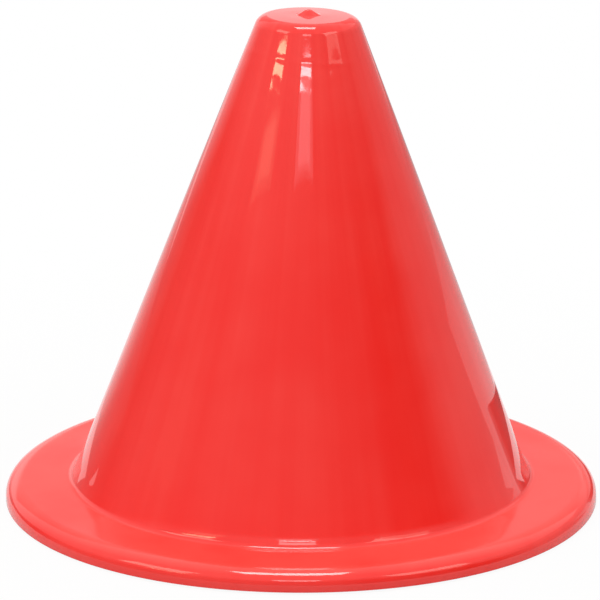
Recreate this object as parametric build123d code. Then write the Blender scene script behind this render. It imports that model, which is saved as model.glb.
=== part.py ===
from build123d import *
import os
from math import cos, radians, sin, tan

# Sports marker cone: one thin-walled plastic moulding, hollow and open underneath so that cones stack.
# The outside line of its half-section is drawn once, and the inside line is that line set in by the wall.
# The moulding is revolved about +Z in the regions that it is described by. Each is divided from the next
# square to the wall, where a rounding starts, so neighbours share that whole face.

# Driving dimensions, in millimetres and degrees
crown_height = 150.0  # floor to the middle of the crown
crown_diameter = 29.8  # across the sharp corner of crown and wall
crown_rise = 0.4  # how far the crown domes above that corner
foot_diameter = 140.6  # across the sharp corner of wall and flange
flange_width = 20.7  # from that corner out to the rim, the widest part
flange_fall = 1.0  # degrees that the flange slopes down before its edge turns over
edge_turn = 33.0  # degrees of slope at which the wide rounding of the edge goes over to the tight one
lip_height = 1.5  # upright part of the rim, above the floor
wall = 1.8  # the same all over
shoulder_radius = 2.4  # inside rounding; the outside one is larger by the wall
foot_radius = 4.8  # outside rounding; the inside one is larger by the wall
brow_radius = 5.6  # inside, the wide rounding where the flange starts to turn down
rim_radius = 2.3  # inside, the tight rounding below it; both are larger by the wall outside
pip_diameter = 6.6  # gate mark in the middle of the crown
pip_tip_diameter = 1.8
pip_height = 1.4


def square_to(slope):
    """The direction square to a line of the half-section that slopes down outwards by so many degrees."""
    return Vector(sin(radians(slope)), 0, cos(radians(slope)))


def along(slope):
    """The direction outwards along such a line."""
    return Vector(cos(radians(slope)), 0, -sin(radians(slope)))


# The edge of the flange, set out from the floor upwards, then the sharp corners above it
lip_end = Vector(foot_diameter / 2 + flange_width, 0, 0)
lip_top = lip_end + square_to(0) * lip_height
rim_centre = lip_top - square_to(90) * (rim_radius + wall)
brow_end = rim_centre + square_to(edge_turn) * (rim_radius + wall)
brow_centre = brow_end - square_to(edge_turn) * (brow_radius + wall)
brow_start = brow_centre + square_to(flange_fall) * (brow_radius + wall)
flange_drop = (brow_start.X - foot_diameter / 2) * tan(radians(flange_fall))
foot_corner = Vector(foot_diameter / 2, 0, brow_start.Z + flange_drop)
crown_corner = Vector(crown_diameter / 2, 0, crown_height - crown_rise)
crown_top = Vector(0, 0, crown_height)


def outside_line():
    """The outside of the half-section: dome, shoulder, wall, foot, flange, brow, rim and lip, to the floor."""
    dome = TangentArc(crown_top, crown_corner, tangent=along(0))
    straight_runs = Polyline(crown_corner, foot_corner, brow_start)
    brow = TangentArc(brow_start, brow_end, tangent=along(flange_fall))
    rim = TangentArc(brow_end, lip_top, tangent=along(edge_turn))
    line = Wire([dome, *straight_runs.edges(), brow, rim, Line(lip_top, lip_end)])
    for corner, radius in ((crown_corner, shoulder_radius + wall), (foot_corner, foot_radius)):
        line = line.fillet_2d(radius, line.vertices().sort_by_distance(corner)[:1])
    return line


def set_in(line, depth):
    """The line moved square to itself: of its two offsets, the one that reaches less far out."""
    offsets = [line.offset_2d(depth, side=side, closed=False) for side in (Side.LEFT, Side.RIGHT)]
    return min(offsets, key=lambda offset: offset.bounding_box().max.X)


def region(outside, inside):
    """The ring between matching runs of outside edges, drawn downwards, and inside edges, drawn upwards."""
    upper_end = Line(outside[0] @ 0, inside[0] @ 1)
    lower_end = Line(outside[-1] @ 1, inside[-1] @ 0)
    return revolve(make_face([*outside, lower_end, *inside, upper_end]), Axis.Z)


def gate_pip():
    """The gate mark: a low blunt cone, rooted half-way down the crown's wall."""
    root = crown_height - wall / 2
    half_section = Polyline(
        (0, 0, root),
        (pip_diameter / 2, 0, root),
        (pip_diameter / 2, 0, crown_height),
        (pip_tip_diameter / 2, 0, crown_height + pip_height),
        (0, 0, crown_height + pip_height),
        close=True,
    )
    return revolve(make_face(half_section), Axis.Z)


outside = outside_line()
inside = set_in(outside, wall)
pairs = zip(outside.order_edges(), reversed(inside.order_edges()), strict=True)
dome, shoulder, side, foot, flange, brow, rim, lip = pairs

parts = {
    "crown_cap": region(*zip(dome, shoulder)) + gate_pip(),
    "cone_wall": region(*zip(side)),
    "base_flange": region(*zip(foot, flange)),
    "rim_lip": region(*zip(brow, rim, lip)),
}

os.makedirs("parts", exist_ok=True)
for node, solid in parts.items():
    export_step(solid, f"parts/{node}.step")
    print(f"{node}: {solid.volume / 1000:.2f} cm3")
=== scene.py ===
import bpy
import numpy as np
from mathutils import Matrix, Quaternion, Vector


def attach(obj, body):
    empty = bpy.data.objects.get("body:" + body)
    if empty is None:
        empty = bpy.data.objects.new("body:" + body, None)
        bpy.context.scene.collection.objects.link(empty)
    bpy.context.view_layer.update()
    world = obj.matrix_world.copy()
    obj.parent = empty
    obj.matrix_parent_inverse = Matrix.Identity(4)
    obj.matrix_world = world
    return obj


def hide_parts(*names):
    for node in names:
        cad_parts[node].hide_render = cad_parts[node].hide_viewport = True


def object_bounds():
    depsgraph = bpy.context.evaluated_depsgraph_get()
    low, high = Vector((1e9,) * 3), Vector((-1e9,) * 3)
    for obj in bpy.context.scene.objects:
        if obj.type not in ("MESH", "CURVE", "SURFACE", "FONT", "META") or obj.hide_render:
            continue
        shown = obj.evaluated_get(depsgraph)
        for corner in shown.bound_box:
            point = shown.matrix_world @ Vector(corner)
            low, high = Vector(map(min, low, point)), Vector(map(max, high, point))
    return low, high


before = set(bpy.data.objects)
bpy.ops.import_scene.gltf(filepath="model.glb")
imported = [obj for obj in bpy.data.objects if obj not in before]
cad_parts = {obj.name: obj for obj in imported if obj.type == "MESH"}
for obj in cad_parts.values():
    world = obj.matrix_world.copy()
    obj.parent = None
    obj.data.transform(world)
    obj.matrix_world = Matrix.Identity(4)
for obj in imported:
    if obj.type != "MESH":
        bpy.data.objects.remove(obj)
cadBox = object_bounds()
mm = 0.001
print("frame loaded:", ", ".join(sorted(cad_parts)))


# Direction square to the outside line, for a tilt away from straight up: (sine, cosine) of the tilt
def squareTo(tilt):
    return np.stack([np.sin(np.radians(tilt)), np.cos(np.radians(tilt))], -1)


# Eases from 0 to 1 between two limits: 3t squared less 2t cubed
def ease(limits, value):
    low, high = limits
    t = np.clip((value - low) / (high - low), 0, 1)
    return t * t * (3 - 2 * t)


# A sum of sines round the axis and along a run: each wave has a count round, a pitch, a depth and a phase
# in turns
def waveSum(waves, turn, run):
    total = 0
    for count, pitch, depth, phase in waves:
        total = total + depth * np.sin(count * turn + 2 * np.pi * (run / pitch + phase))
    return total


# A sway round the axis: a sine with a size, a count round and a phase in radians
def sway(setting, turn):
    size, count, phase = setting
    return size * np.sin(count * turn + phase)


# Puts a grid of points into a new object; faces are given as corner lists
def newMesh(name, points, faces):
    mesh = bpy.data.meshes.new(name)
    mesh.from_pydata(points.reshape(-1, 3), [], faces)
    mesh.polygons.foreach_set("use_smooth", np.ones(len(mesh.polygons), bool))
    thing = bpy.data.objects.new(name, mesh)
    bpy.context.scene.collection.objects.link(thing)
    return thing


# Four corners of each cell of a grid of rows and columns; a closed grid joins its last column to its first
def gridCells(rows, columns, closed):
    index = np.arange(rows * columns).reshape(rows, columns)
    if closed:
        index = np.hstack([index, index[:, :1]])
    return np.stack([index[:-1, :-1], index[1:, :-1], index[1:, 1:], index[:-1, 1:]], -1).reshape(-1, 4)


# The moulding, in millimetres and degrees. A pair is the two limits that something eases in or out between
cone = {
    "crownDiameter": 29.8,      # across the sharp corner of crown and wall
    "crownRise": 0.4,           # dome of the crown above that corner
    "flangeWidth": 20.7,        # sharp corner of wall and flange out to the rim
    "flangeFall": 1.0,          # degrees that the flange slopes down before its edge turns over
    "edgeTurn": 33.0,           # slope at which the edge's wide rounding goes over to the tight one
    "lipHeight": 1.5,           # upright part of the rim
    "wall": 1.8,
    "shoulderRadius": 4.2,
    "footRadius": 2.3,
    "flareRadius": 30.0,        # the wall's slow turn outwards above the foot, until it tilts this much
    "flareTilt": 61.0,
    "browRadius": 7.4,
    "rimRadius": 4.1,
    "lipEdge": 0.3,             # rounding at the edges of the ring that it stands on
    "around": 256,              # steps round the axis
    "closeShare": 0.25,         # upper share of the wall that has closer rows
    # Gate mark in the middle of the crown: its torn tip is a product of sines, each a rate and a phase
    "pipDiameter": 6.6,
    "pipTip": 1.8,
    "pipHeight": 1.4,
    "pipEdge": 0.35,            # rounding at the tip
    "pipRoot": 0.7,             # rounding where it meets the crown
    "tearDepth": 0.25,
    "tearWaves": ((3.3, 0.7), (4.1, -0.4)),
    "tearEnd": (0.3, 1.2),      # radii
    # The soft crown stands over to +X, from a height up, and tips over with it outside the gate mark
    "lean": 2.2,
    "leanFrom": 9.0,
    "crownTip": 1.3,            # degrees
    "tipStart": (2, 8),         # radii
    # The rim is warped off the floor, in front and behind, from a radius outwards
    "lift": 0.5,
    "liftFrom": 66,
    # Waves left by cooling in the wall and the flange: count round, pitch along, depth, phase in turns
    "wallWaves": ((2, 210.0, 0.050, 0.10), (3, 95.0, 0.018, 0.35),
                  (5, 70.0, 0.008, 0.60), (8, 46.0, 0.003, 0.05)),
    "wallWaveStart": (10, 60),  # heights
    "wallWaveEnd": (70, 147),
    "flangeWaves": ((5, 60.0, 0.050, 0.20), (9, 34.0, 0.024, 0.55), (14, 21.0, 0.010, 0.80)),
    "flangeWaveTop": (6, 9),    # heights
    "flangeWaveStart": (73, 78),  # radii
    "flangeWaveEnd": (82, 88),
    # Ripples under the crown, where the plastic came off the mould last; a sway is a size, a count, a phase
    "rippleDepth": 0.0025,
    "ripplePitch": 6.0,
    "rippleStart": (126, 132),  # heights
    "rippleEnd": (138, 141),
    "rippleSway": (5, 3, 0.9),
    # A faint ring above them
    "ringDepth": 0.010,
    "ringHeight": 139.4,
    "ringWidth": 0.8,
    "ringReach": 30,            # radius that it ends at
    "ringSway": (0.8, 2, 0.2),
    # Where the finish is worn: heights of the rubbed standing edge; tilts and radii of the scuffed flange,
    # which is also painted paler as a sheen of the white surroundings
    "rubbedEnd": (0.2, 1.2),
    "scuffAndSheenTilt": (12, 46),
    "scuffAndSheenStart": (68, 73),
}


# Centre of the arc that rounds a corner between two straight runs: the corner moved back along both squares
def cornerCentre(corner, tiltA, tiltB, radius):
    return corner - radius * np.linalg.solve(squareTo(np.array([tiltA, tiltB])), np.ones(2))


# Arcs of the outside line, top to floor. Each is a centre, a radius, minus where it is hollow, and two tilts;
# a point of it is the centre plus the radius times the square to the line at that tilt
def outsideArcs(c, top, reach):
    crownTop = top - c["pipHeight"]
    crownCorner = np.array([c["crownDiameter"] / 2, crownTop - c["crownRise"]])
    rim = np.array([reach - c["rimRadius"], c["lipHeight"]])
    brow = rim - (c["browRadius"] - c["rimRadius"]) * squareTo(c["edgeTurn"])
    browStart = brow + c["browRadius"] * squareTo(c["flangeFall"])
    flangeRun = browStart[0] - (reach - c["flangeWidth"])
    footCorner = browStart + flangeRun * np.array([-1, np.tan(np.radians(c["flangeFall"]))])
    run = (footCorner - crownCorner) / np.linalg.norm(footCorner - crownCorner)
    wallTilt = np.degrees(np.arctan2(-run[1], run[0]))

    # The dome's radius from its half chord and its rise: (chord squared + rise squared) / (2 rise)
    domeRadius = (crownCorner[0] ** 2 + c["crownRise"] ** 2) / (2 * c["crownRise"])
    domeCentre = np.array([0.0, crownTop - domeRadius])
    # The shoulder's centre: on the wall's line set in by the shoulder, at the dome's radius less the shoulder's
    start = crownCorner - c["shoulderRadius"] * squareTo(wallTilt) - domeCentre
    along = start @ run
    gap = domeRadius - c["shoulderRadius"]
    shoulderCentre = domeCentre + start + run * (-along - np.sqrt(along ** 2 - start @ start + gap ** 2))
    shoulderTilt = np.degrees(np.arctan2(*(shoulderCentre - domeCentre)))

    # The gate mark's flank runs straight from its tip to the dome
    pipTip = np.array([c["pipTip"] / 2, top])
    domeTilt = np.degrees(np.arcsin(c["pipDiameter"] / 2 / domeRadius))
    pipFoot = domeCentre + domeRadius * squareTo(domeTilt)
    pipTilt = np.degrees(np.arctan2(pipTip[1] - pipFoot[1], pipFoot[0] - pipTip[0]))
    pipRoot = cornerCentre(pipFoot, pipTilt, domeTilt, -c["pipRoot"])

    # The foot's arc touches the flange, and the wide arc of the flare above it touches the wall: the foot's
    # centre lies so far along the flange that the flare's centre, on the square they share, is its radius off
    # the wall
    outward = np.array([squareTo(c["flangeFall"])[1], -squareTo(c["flangeFall"])[0]])
    foot = footCorner + c["footRadius"] * squareTo(c["flangeFall"])
    wider = (c["flareRadius"] - c["footRadius"]) * squareTo(c["flareTilt"])
    short = c["flareRadius"] - (foot + wider - footCorner) @ squareTo(wallTilt)
    foot = foot + outward * short / (outward @ squareTo(wallTilt))
    return {
        "pipTip": (cornerCentre(pipTip, 0, pipTilt, c["pipEdge"]), c["pipEdge"], 0, pipTilt),
        "pipRoot": (pipRoot, -c["pipRoot"], pipTilt, domeTilt),
        "dome": (domeCentre, domeRadius, domeTilt, shoulderTilt),
        "shoulder": (shoulderCentre, c["shoulderRadius"], shoulderTilt, wallTilt),
        "flare": (foot + wider, -c["flareRadius"], wallTilt, c["flareTilt"]),
        "foot": (foot, -c["footRadius"], c["flareTilt"], c["flangeFall"]),
        "brow": (brow, c["browRadius"], c["flangeFall"], c["edgeTurn"]),
        "rim": (rim, c["rimRadius"], c["edgeTurn"], 90),
    }


# Rows of (radius, height, tilt) along an arc, at equal steps of tilt
def arcRows(centre, radius, tiltA, tiltB, steps):
    tilt = np.linspace(tiltA, tiltB, steps + 1)
    return np.column_stack([centre + radius * squareTo(tilt), tilt])


# Rows of the closed half-section: down the outside, across the ring it stands on, and up the inside, which is
# the outside line moved in by the wall. Each stretch has the number of even steps from its end to the next
def sectionRows(c, arcs, top, reach):
    inward = {name: (arc[0], arc[1] - c["wall"], arc[3], arc[2]) for name, arc in arcs.items()}
    inward["dome"] = (*inward["dome"][:3], 0)
    edge = c["lipEdge"]
    wallTop, wallFoot = arcRows(*arcs["shoulder"], 1)[-1:], arcRows(*arcs["flare"], 1)[:1]
    outer = [
        (np.array([[0, top, 0]]), 3),
        (arcRows(*arcs["pipTip"], 5), 5),
        (arcRows(*arcs["pipRoot"], 6), 1),
        (arcRows(*arcs["dome"], 16), 1),
        (arcRows(*arcs["shoulder"], 16), 80),
        (wallTop + c["closeShare"] * (wallFoot - wallTop), 90),
        (arcRows(*arcs["flare"], 12)[:-1], 1),
        (arcRows(*arcs["foot"], 18), 14),
        (arcRows(*arcs["brow"], 10)[:-1], 1),
        (arcRows(*arcs["rim"], 16), 2),
        (arcRows(np.array([reach - edge, edge]), edge, 90, 180, 4), 2),
    ]
    inner = [
        (arcRows(np.array([reach - c["wall"] + edge, edge]), edge, 180, 270, 4), 2),
        (arcRows(*inward["rim"], 8)[:-1], 1),
        (arcRows(*inward["brow"], 6), 5),
        (arcRows(*inward["foot"], 10)[:-1], 1),
        (arcRows(*inward["flare"], 6), 20),
        (arcRows(*inward["shoulder"], 8), 1),
        (arcRows(*inward["dome"], 10), 0),
    ]
    stretches = outer + inner
    rows = []
    for (stretch, steps), (following, _) in zip(stretches, stretches[1:] + stretches[-1:]):
        between = np.linspace(stretch[-1], following[0], steps, endpoint=False)[1:]
        rows += [stretch, between]
    return np.vstack(rows), sum(len(stretch) + steps - 1 for stretch, steps in outer)


# How far the surface stands off a true cone, square to itself: waves in the wall and the flange, ripples that
# are a sine of the height, and a ring that is a bell curve of the height; both of these sway round the axis
def standOff(c, turn, radius, height):
    inWall = ease(c["wallWaveStart"], height) * (1 - ease(c["wallWaveEnd"], height))
    inFlange = (1 - ease(c["flangeWaveTop"], height)) * ease(c["flangeWaveStart"], radius)
    inFlange = inFlange * (1 - ease(c["flangeWaveEnd"], radius))
    inRipples = ease(c["rippleStart"], height) * (1 - ease(c["rippleEnd"], height))
    ripplePhase = 2 * np.pi * height / c["ripplePitch"] + sway(c["rippleSway"], turn)
    ripples = c["rippleDepth"] * inRipples * np.sin(ripplePhase)
    fromRing = (height - c["ringHeight"] + sway(c["ringSway"], turn)) / c["ringWidth"]
    ring = c["ringDepth"] * np.exp(-fromRing ** 2) * (radius < c["ringReach"])
    wall = waveSum(c["wallWaves"], turn, height) * inWall
    flange = waveSum(c["flangeWaves"], turn, radius) * inFlange
    return wall + flange + ripples + ring


# The moulding: the half-section carried round the axis, moved square to itself by its waves
def buildCone(c):
    top = cadBox[1].z / mm
    reach = min(*cadBox[1].xy, *-cadBox[0].xy) / mm
    arcs = outsideArcs(c, top, reach)
    rows, outsideCount = sectionRows(c, arcs, top, reach)
    length = np.concatenate([[0], np.cumsum(np.linalg.norm(np.diff(rows[:, :2], axis=0), axis=1))])
    turn = np.linspace(0, 2 * np.pi, c["around"], endpoint=False)
    radius, height, tilt = (column[1:-1, None] for column in rows.T)
    isOutside = (np.arange(len(rows)) < outsideCount)[1:-1, None]

    off = standOff(c, turn, radius, height)
    square = squareTo(tilt[:, 0])[:, None, :]
    r = radius + off * square[..., 0]
    z = height + off * square[..., 1]
    x, y = r * np.sin(turn), -r * np.cos(turn)
    # The torn tip: lowered by a product of sines, less and less towards the flank
    (rateX, phaseX), (rateY, phaseY) = c["tearWaves"]
    torn = (1 + np.sin(rateX * x + phaseX) * np.cos(rateY * y + phaseY)) / 2
    z = z - c["tearDepth"] * torn * (1 - ease(c["tearEnd"], r)) * isOutside
    # The rim is lifted by a cosine of twice the turn. The crown leans in step with the height, and tips with
    # the square of that
    leaning = np.clip((height - c["leanFrom"]) / (top - c["leanFrom"]), 0, 1)
    z = z + c["lift"] * (1 + np.cos(2 * turn)) / 2 * ease((c["liftFrom"], reach), radius)
    z = z - x * np.tan(np.radians(c["crownTip"])) * leaning ** 2 * ease(c["tipStart"], radius)
    x = x + c["lean"] * leaning

    # The two poles, on the gate mark and under the crown, then the grid between them
    poleLean = c["lean"] * np.array([1, (rows[-1, 1] - c["leanFrom"]) / (top - c["leanFrom"])])
    poles = np.array([[poleLean[0], 0, top - c["tearDepth"] / 2], [poleLean[1], 0, rows[-1, 1]]])
    points = np.vstack([poles, np.stack([x, y, z], -1).reshape(-1, 3)]) * mm
    cells = gridCells(len(rows) - 2, c["around"], True) + 2
    first = np.arange(c["around"]) + 2
    last = first + (len(rows) - 3) * c["around"]
    upperCap = np.stack([0 * first, first, np.roll(first, -1)], -1)
    lowerCap = np.stack([0 * last + 1, np.roll(last, -1), last], -1)
    thing = newMesh("marker_cone", points, cells.tolist() + upperCap.tolist() + lowerCap.tolist())

    # Flow coordinates for the finish: the turn as a point on a circle, and the way run from the gate
    around = np.broadcast_to(np.stack([np.sin(turn), -np.cos(turn)], -1), (*x.shape, 2))
    way = np.broadcast_to(length[1:-1, None] / length[-1], x.shape)
    flow = np.vstack([[0, 0, 0], [0, 0, 1], np.concatenate([around, way[..., None]], -1).reshape(-1, 3)])
    thing.data.attributes.new("flow", "FLOAT_VECTOR", "POINT").data.foreach_set("vector", flow.ravel())
    # Shares that the finish goes by, at the two poles and over the grid
    shares = {
        "innerFace": ((0, 1), ~isOutside),
        "rubbed": ((0, 0), 1 - ease(c["rubbedEnd"], height)),
        # The flange's share: scuffed, and painted paler as a sheen of the white surroundings
        "scuffAndSheen": ((0, 0), (1 - ease(c["scuffAndSheenTilt"], tilt)) * ease(c["scuffAndSheenStart"], radius) * isOutside),
    }
    for name, (atPoles, share) in shares.items():
        values = np.concatenate([atPoles, np.broadcast_to(share, x.shape).ravel()]).astype(float)
        thing.data.attributes.new(name, "FLOAT", "POINT").data.foreach_set("value", values)
    return thing


markerCone = buildCone(cone)
print("cone built:", len(markerCone.data.vertices), "points")


# Adds a node and sets its sockets and options by name
def addNode(tree, kind, sockets=None, **options):
    node = tree.nodes.new(kind)
    for name, value in options.items():
        setattr(node, name, value)
    for name, value in (sockets or {}).items():
        if isinstance(value, bpy.types.NodeSocket):
            tree.links.new(value, node.inputs[name])
        else:
            node.inputs[name].default_value = value
    return node


# The plastic: self-coloured, glossy, with flow streaks from the gate, orange peel, a rubbed standing edge and a
# paler flange, partly scuffed and partly a painted sheen
plastic = {
    "colour": (0.80, 0.022, 0.017, 1),
    "paleColour": (0.82, 0.036, 0.028, 1),      # where the pigment is thinner
    # The flange's paler colour is partly scuffing and partly a painted sheen of the white surroundings
    "scuffAndSheenColour": (0.91, 0.058, 0.046, 1),   # the flange, which is trodden on
    "bending": 1.5,                             # index of refraction
    "gloss": 0.03,                              # roughness of the outside
    "glossSpread": 0.2,                         # share by which the haze varies it
    "scuffedGloss": 0.12,
    "innerGloss": 0.20,
    "rubbedGloss": 0.16,
    "streakScale": (9.0, 9.0, 2.0),             # how closely flow streaks lie round the wall and along it
    "mottleScale": 38.0,                        # per metre, as is the haze
    "hazeScale": 240.0,
    "paleShare": (0.15, 0.42),                  # streaks times mottle, from no pale colour to all of it
    # How pale the flange gets: partly scuffing, partly painted sheen
    "paleFlangeFull": 0.6,                            # scuffing times mottle at which the flange is fully pale
    "peelSize": 3.2 * mm,
    "peelDepth": 0.003 * mm,
}


def plasticMaterial(p):
    material = bpy.data.materials.new("cone_plastic_finish")
    material.use_nodes = True
    tree = material.node_tree
    shader = tree.nodes["Principled BSDF"]
    shader.inputs["IOR"].default_value = p["bending"]

    flow = addNode(tree, "ShaderNodeAttribute", attribute_name="flow").outputs["Vector"]
    place = addNode(tree, "ShaderNodeTexCoord").outputs["Object"]
    inner = addNode(tree, "ShaderNodeAttribute", attribute_name="innerFace").outputs["Fac"]
    rubbed = addNode(tree, "ShaderNodeAttribute", attribute_name="rubbed").outputs["Fac"]
    scuffAndSheen = addNode(tree, "ShaderNodeAttribute", attribute_name="scuffAndSheen").outputs["Fac"]

    # Colour: streaks that run with the flow, over a slow mottle
    along = addNode(tree, "ShaderNodeMapping", {"Vector": flow, "Scale": p["streakScale"]}).outputs["Vector"]
    streaks = addNode(tree, "ShaderNodeTexNoise", {"Vector": along, "Scale": 1.0, "Detail": 4.0}).outputs["Fac"]
    mottle = addNode(tree, "ShaderNodeTexNoise", {"Vector": place, "Scale": p["mottleScale"], "Detail": 2.0})
    mottle = mottle.outputs["Fac"]
    both = addNode(tree, "ShaderNodeMath", {0: streaks, 1: mottle}, operation="MULTIPLY").outputs["Value"]
    share = addNode(tree, "ShaderNodeMapRange", {
        "Value": both, "From Min": p["paleShare"][0], "From Max": p["paleShare"][1]})
    tone = addNode(tree, "ShaderNodeMix", {"Factor": share.outputs["Result"]}, data_type="RGBA")
    tone.inputs["A"].default_value = p["colour"]
    tone.inputs["B"].default_value = p["paleColour"]
    # The flange is painted paler: partly scuffing, partly a painted sheen standing in for the white
    # surroundings that it reflects
    worn = addNode(tree, "ShaderNodeMath", {0: scuffAndSheen, 1: mottle}, operation="MULTIPLY").outputs["Value"]
    worn = addNode(tree, "ShaderNodeMapRange", {"Value": worn, "From Max": p["paleFlangeFull"]})
    outside = addNode(tree, "ShaderNodeMix", {"Factor": worn.outputs["Result"]}, data_type="RGBA")
    tree.links.new(tone.outputs["Result"], outside.inputs["A"])
    outside.inputs["B"].default_value = p["scuffAndSheenColour"]
    tree.links.new(outside.outputs["Result"], shader.inputs["Base Color"])

    # Gloss: fine variation, duller on the core side, on the flange and on the rubbed edge
    haze = addNode(tree, "ShaderNodeTexNoise", {"Vector": place, "Scale": p["hazeScale"], "Detail": 3.0})
    gloss = addNode(tree, "ShaderNodeMapRange", {
        "Value": haze.outputs["Fac"], "From Min": 0.3, "From Max": 0.7,
        "To Min": (1 - p["glossSpread"]) * p["gloss"], "To Max": (1 + p["glossSpread"]) * p["gloss"]})
    gloss = gloss.outputs["Result"]
    for worn, dull in ((inner, "innerGloss"), (scuffAndSheen, "scuffedGloss"), (rubbed, "rubbedGloss")):
        gloss = addNode(tree, "ShaderNodeMix", {"Factor": worn, "A": gloss, "B": p[dull]}).outputs["Result"]
    tree.links.new(gloss, shader.inputs["Roughness"])

    # Orange peel
    peel = addNode(tree, "ShaderNodeTexNoise", {"Vector": place, "Scale": 1 / p["peelSize"], "Detail": 1.0})
    bump = addNode(tree, "ShaderNodeBump", {
        "Height": peel.outputs["Fac"], "Distance": p["peelDepth"], "Strength": 1.0})
    tree.links.new(bump.outputs["Normal"], shader.inputs["Normal"])
    return material


markerCone.data.materials.append(plasticMaterial(plastic))
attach(markerCone, "root")
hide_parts("crown_cap", "cone_wall", "base_flange", "rim_lip")
print("finish made")


# Middle of the cone's height, which lamps and camera are placed from, in metres
middle = Vector((0, 0, 0.075))


# Direction to a bearing from the camera's side, plus to the right, and an elevation
def directionTo(bearing, elevation):
    b, e = np.broadcast_arrays(np.radians(bearing), np.radians(elevation))
    return np.stack([np.cos(e) * np.sin(b), -np.cos(e) * np.cos(b), np.sin(e)], -1)


# The floor, in metres
floor = {
    "radius": 4.0,
    "hub": 1 * mm,              # radius of the one face in its middle
    "around": 96,
    "drop": 0.1 * mm,
    "colour": (0.65, 0.65, 0.65, 1),
    # The share of plain white that it shows to each kind of ray right beside the cone, and the two distances
    # from the axis between which that rises to all of it
    "white": {
        "Is Camera Ray": (0.92, 0.10, 0.30),
        "Is Glossy Ray": (0.30, 0.093, 0.105),
        "Is Transmission Ray": (0.92, 0.10, 0.30),
    },
}


# The floor: a flat disc
def buildFloor(f):
    turn = np.linspace(0, 2 * np.pi, f["around"], endpoint=False)
    radius = np.array([f["hub"], f["radius"]])[:, None]
    points = np.stack([radius * np.sin(turn), -radius * np.cos(turn), 0 * radius * turn - f["drop"]], -1)
    faces = gridCells(2, f["around"], True).tolist() + [list(range(f["around"]))]
    thing = newMesh("stage_floor", points, faces)
    material = bpy.data.materials.new("floor_white")
    material.use_nodes = True
    tree = material.node_tree
    tree.nodes.remove(tree.nodes["Principled BSDF"])
    plain = addNode(tree, "ShaderNodeBsdfDiffuse", {"Color": f["colour"]}).outputs["BSDF"]
    glow = addNode(tree, "ShaderNodeEmission", {"Strength": 1.0}).outputs["Emission"]
    light = addNode(tree, "ShaderNodeLightPath")
    place = addNode(tree, "ShaderNodeTexCoord").outputs["Object"]
    away = addNode(tree, "ShaderNodeVectorMath", {0: place}, operation="LENGTH").outputs["Value"]
    share = 0
    for kind, (near, start, end) in f["white"].items():
        amount = addNode(tree, "ShaderNodeMapRange", {
            "Value": away, "From Min": start, "From Max": end, "To Min": near, "To Max": 1.0})
        terms = {0: light.outputs[kind], 1: amount.outputs["Result"], 2: share}
        share = addNode(tree, "ShaderNodeMath", terms, operation="MULTIPLY_ADD").outputs["Value"]
    mixed = addNode(tree, "ShaderNodeMixShader", {0: share, 1: plain, 2: glow})
    tree.links.new(mixed.outputs["Shader"], tree.nodes["Material Output"].inputs["Surface"])
    thing.data.materials.append(material)


# Cloth and cards round the stage, in metres and degrees: the radii of the lower and the upper edge, then
# bearings, each with the tone of the lower part and of the top, where 1 is white, and the heights of the edges
bands = {
    "stage_drape": (2.4, 2.4, (
        (-150, 0.50, 1.00, 0, 0.02), (-138, 0.30, 1.00, 0, 0.22), (-120, 0.20, 0.80, 0, 0.58),
        (-100, 0.45, 0.85, 0, 0.80), (-79, 0.48, 0.85, 0, 0.92), (-61, 0.52, 0.85, 0, 1.09),
        (-42, 0.60, 0.90, 0, 1.26), (-20, 0.50, 1.00, 0, 1.38), (0, 0.45, 0.85, 0, 1.42),
        (20, 0.31, 0.70, 0, 1.38), (42, 0.20, 0.65, 0, 1.26), (61, 0.00, 0.65, 0, 1.09),
        (79, 0.10, 0.65, 0, 0.92), (96, 0.60, 0.75, 0, 0.90), (118, 0.55, 0.70, 0, 0.75),
        (138, 0.50, 0.60, 0, 0.50), (165, 0.60, 0.60, 0, 0.30))),
    "stage_backCloth_left": (2.4, 2.4, ((-176.5, 0.5, 0.5, 0.7, 1.4), (-150, 0.5, 0.5, 0.7, 1.4))),
    "stage_backCloth_right": (2.4, 2.4, ((150, 0.5, 0.5, 0.7, 1.4), (176.5, 0.5, 0.5, 0.7, 1.4))),
    "stage_card_left": (0.18, 0.50, (
        (-178, 1.00, 0.50, 0, 0.06), (-150, 1.00, 0.50, 0, 0.06), (-138, 0.66, 0.48, 0, 0.06),
        (-133, 0.42, 0.42, 0, 0.06), (-128, 0.34, 0.34, 0, 0.06), (-122, 0.30, 0.30, 0, 0.06),
        (-117, 0.25, 0.25, 0, 0.06))),
    "stage_card_right": (0.20, 0.40, (
        (115.8, 0.90, 0.90, 0, 0.085), (131, 0.90, 0.68, 0, 0.085), (138, 0.78, 0.40, 0, 0.102),
        (150, 0.72, 0.32, 0, 0.102), (172, 0.70, 0.30, 0, 0.102))),
    "stage_darkCard": (0.165, 0.165, (
        (115, 0.40, 0.40, 0, 0.029), (117.5, 0.30, 0.30, 0, 0.028), (120, 0.14, 0.14, 0, 0.0258),
        (124.2, 0.14, 0.14, 0, 0.022), (132.4, 0.14, 0.14, 0, 0.0147), (140.6, 0.14, 0.14, 0, 0.0069),
        (148, 0.14, 0.14, 0, 0.0003))),
}
hanging = {
    "steps": 401,               # along each band
    "farFrom": 1.0,             # radius from which a band is cloth
    "softBelow": 0.10,          # the cloth's change of tone, below and above the height that is given
    "softAbove": 0.15,
    "headroom": 0.60,           # from that height to the cloth's upper edge
}


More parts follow.
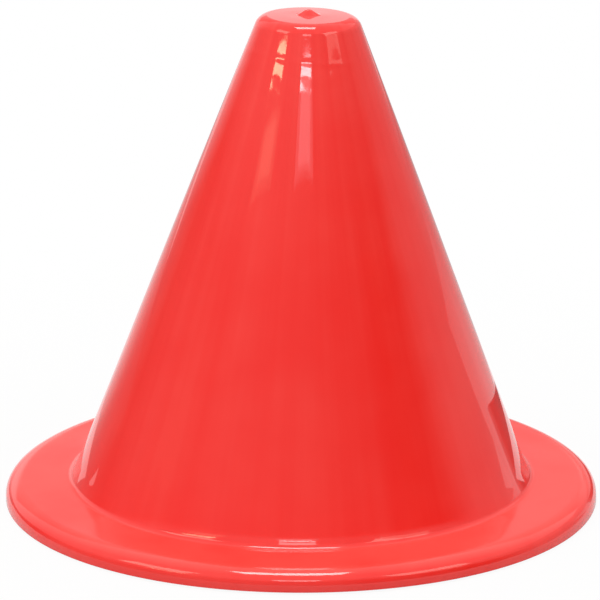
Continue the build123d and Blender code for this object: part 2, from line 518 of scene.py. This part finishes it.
# A band: an arc between two edges, each with its own radius, whose heights and tones are read across from the
# bearings. Cloth has a soft change of tone at its top, and only what shines in the plastic sees the cards
def buildBand(name, lowerRadius, upperRadius, shape, h):
    at, *columns = np.transpose(shape)
    bearing = np.linspace(at[0], at[-1], h["steps"])
    tone, topTone, lower, upper = (np.interp(bearing, at, column) for column in columns)
    isFar = lowerRadius > h["farFrom"]
    heights, tones = [lower, upper], [tone, topTone]
    if isFar:
        softStart = np.maximum(lower, upper - h["softBelow"])
        heights = [lower, softStart, upper + h["softAbove"], upper + h["headroom"]]
        tones = [tone, tone, topTone, topTone]
    radius = np.linspace(lowerRadius, upperRadius, len(heights))[:, None, None]
    points = directionTo(bearing, 0) * radius + np.stack(heights)[..., None] * np.array([0, 0, 1])
    thing = newMesh(name, points, gridCells(len(heights), h["steps"], False).tolist())
    thing.data.attributes.new("tone", "FLOAT", "POINT").data.foreach_set("value", np.concatenate(tones))
    material = bpy.data.materials.new(name + "_cloth")
    material.use_nodes = True
    tree = material.node_tree
    tree.nodes.remove(tree.nodes["Principled BSDF"])
    grey = addNode(tree, "ShaderNodeAttribute", attribute_name="tone").outputs["Fac"]
    glow = addNode(tree, "ShaderNodeEmission", {"Strength": grey})
    tree.links.new(glow.outputs["Emission"], tree.nodes["Material Output"].inputs["Surface"])
    thing.data.materials.append(material)
    thing.visible_camera = False
    thing.visible_diffuse = isFar
    thing.visible_shadow = isFar


# Lamps: bearing, elevation, distance, width, height and roll in degrees as the cone sees them, brightness,
# colour
lamps = {
    "overheadSoftbox": (-90, 88, 1.4, 16, 22, 0, 12.0, (1.0, 1.0, 1.0)),
    "frontStrip": (-2, 31.65, 1.7, 16, 0.6, 0, 16.0, (1.0, 0.95, 1.0)),
    "frontGlow": (-2, 30.4, 1.7, 12.5, 2.2, 0, 1.3, (1.0, 0.90, 0.95)),
    "frontHaze": (-2, 30.3, 1.7, 18.5, 2.6, 0, 1.0, (1.0, 0.90, 0.95)),
    "frontTop": (-2, 36, 1.7, 16, 6, 0, 4.5, (1.0, 0.95, 0.95)),
    "warmStrip": (-54, 28.3, 1.7, 16, 0.9, 10, 12.5, (1.0, 0.90, 0.55)),
    "warmGlow": (-49, 26.65, 1.7, 12, 1.4, 10, 0.7, (1.0, 0.90, 0.60)),
    "warmHaze": (-49, 26.6, 1.7, 18, 2.0, 10, 0.6, (1.0, 0.90, 0.60)),
    "warmSide": (-64, 39, 1.7, 26, 16, 0, 3.4, (1.0, 0.95, 0.80)),
    "sideLamp": (55, 28.6, 1.7, 24, 3.1, -10, 1.5, (1.0, 0.88, 0.74)),
    "sideTop": (55.5, 38, 1.7, 29, 14, 0, 3.0, (1.0, 0.90, 0.80)),
}


# An area lamp's power is its brightness times its area times pi
def addLamp(name, bearing, elevation, distance, width, height, roll, brightness, colour):
    light = bpy.data.lights.new(name, "AREA")
    light.shape = "RECTANGLE"
    light.size = 2 * distance * np.tan(np.radians(width / 2))
    light.size_y = 2 * distance * np.tan(np.radians(height / 2))
    light.energy = brightness * light.size * light.size_y * np.pi
    light.color = colour
    thing = bpy.data.objects.new(name, light)
    thing.location = middle + distance * Vector(directionTo(bearing, elevation))
    thing.rotation_mode = "QUATERNION"
    turned = Quaternion((0, 0, 1), np.radians(roll))
    thing.rotation_quaternion = (middle - thing.location).to_track_quat("-Z", "Y") @ turned
    thing.visible_camera = False
    bpy.context.scene.collection.objects.link(thing)


buildFloor(floor)
for name, setting in bands.items():
    buildBand(name, *setting, hanging)
for name, setting in lamps.items():
    addLamp(name, *setting)
world = bpy.data.worlds.new("studioWhite")
world.use_nodes = True
world.node_tree.nodes["Background"].inputs["Color"].default_value = (1, 1, 1, 1)
world.node_tree.nodes["Background"].inputs["Strength"].default_value = 1.0
bpy.context.scene.world = world
print("stage and lamps placed")


# The camera, in metres and degrees, found from the outline of the cone
viewing = {
    "distance": 1.1,            # from the cone's middle
    "elevation": 15.15,
    "target": (-0.34 * mm, 0, 61.57 * mm),
    "lens": 217.36,             # in millimetres, as is the sensor
    "sensor": 36,
}


def addCamera(v):
    data = bpy.data.cameras.new("photoCamera")
    data.sensor_width = v["sensor"]
    data.lens = v["lens"]
    thing = bpy.data.objects.new("photoCamera", data)
    thing.location = middle + v["distance"] * Vector(directionTo(0, v["elevation"]))
    thing.rotation_mode = "QUATERNION"
    thing.rotation_quaternion = (Vector(v["target"]) - thing.location).to_track_quat("-Z", "Y")
    bpy.context.scene.collection.objects.link(thing)
    bpy.context.scene.camera = thing


addCamera(viewing)
bpy.context.scene.view_settings.view_transform = "Standard"
print("camera placed")
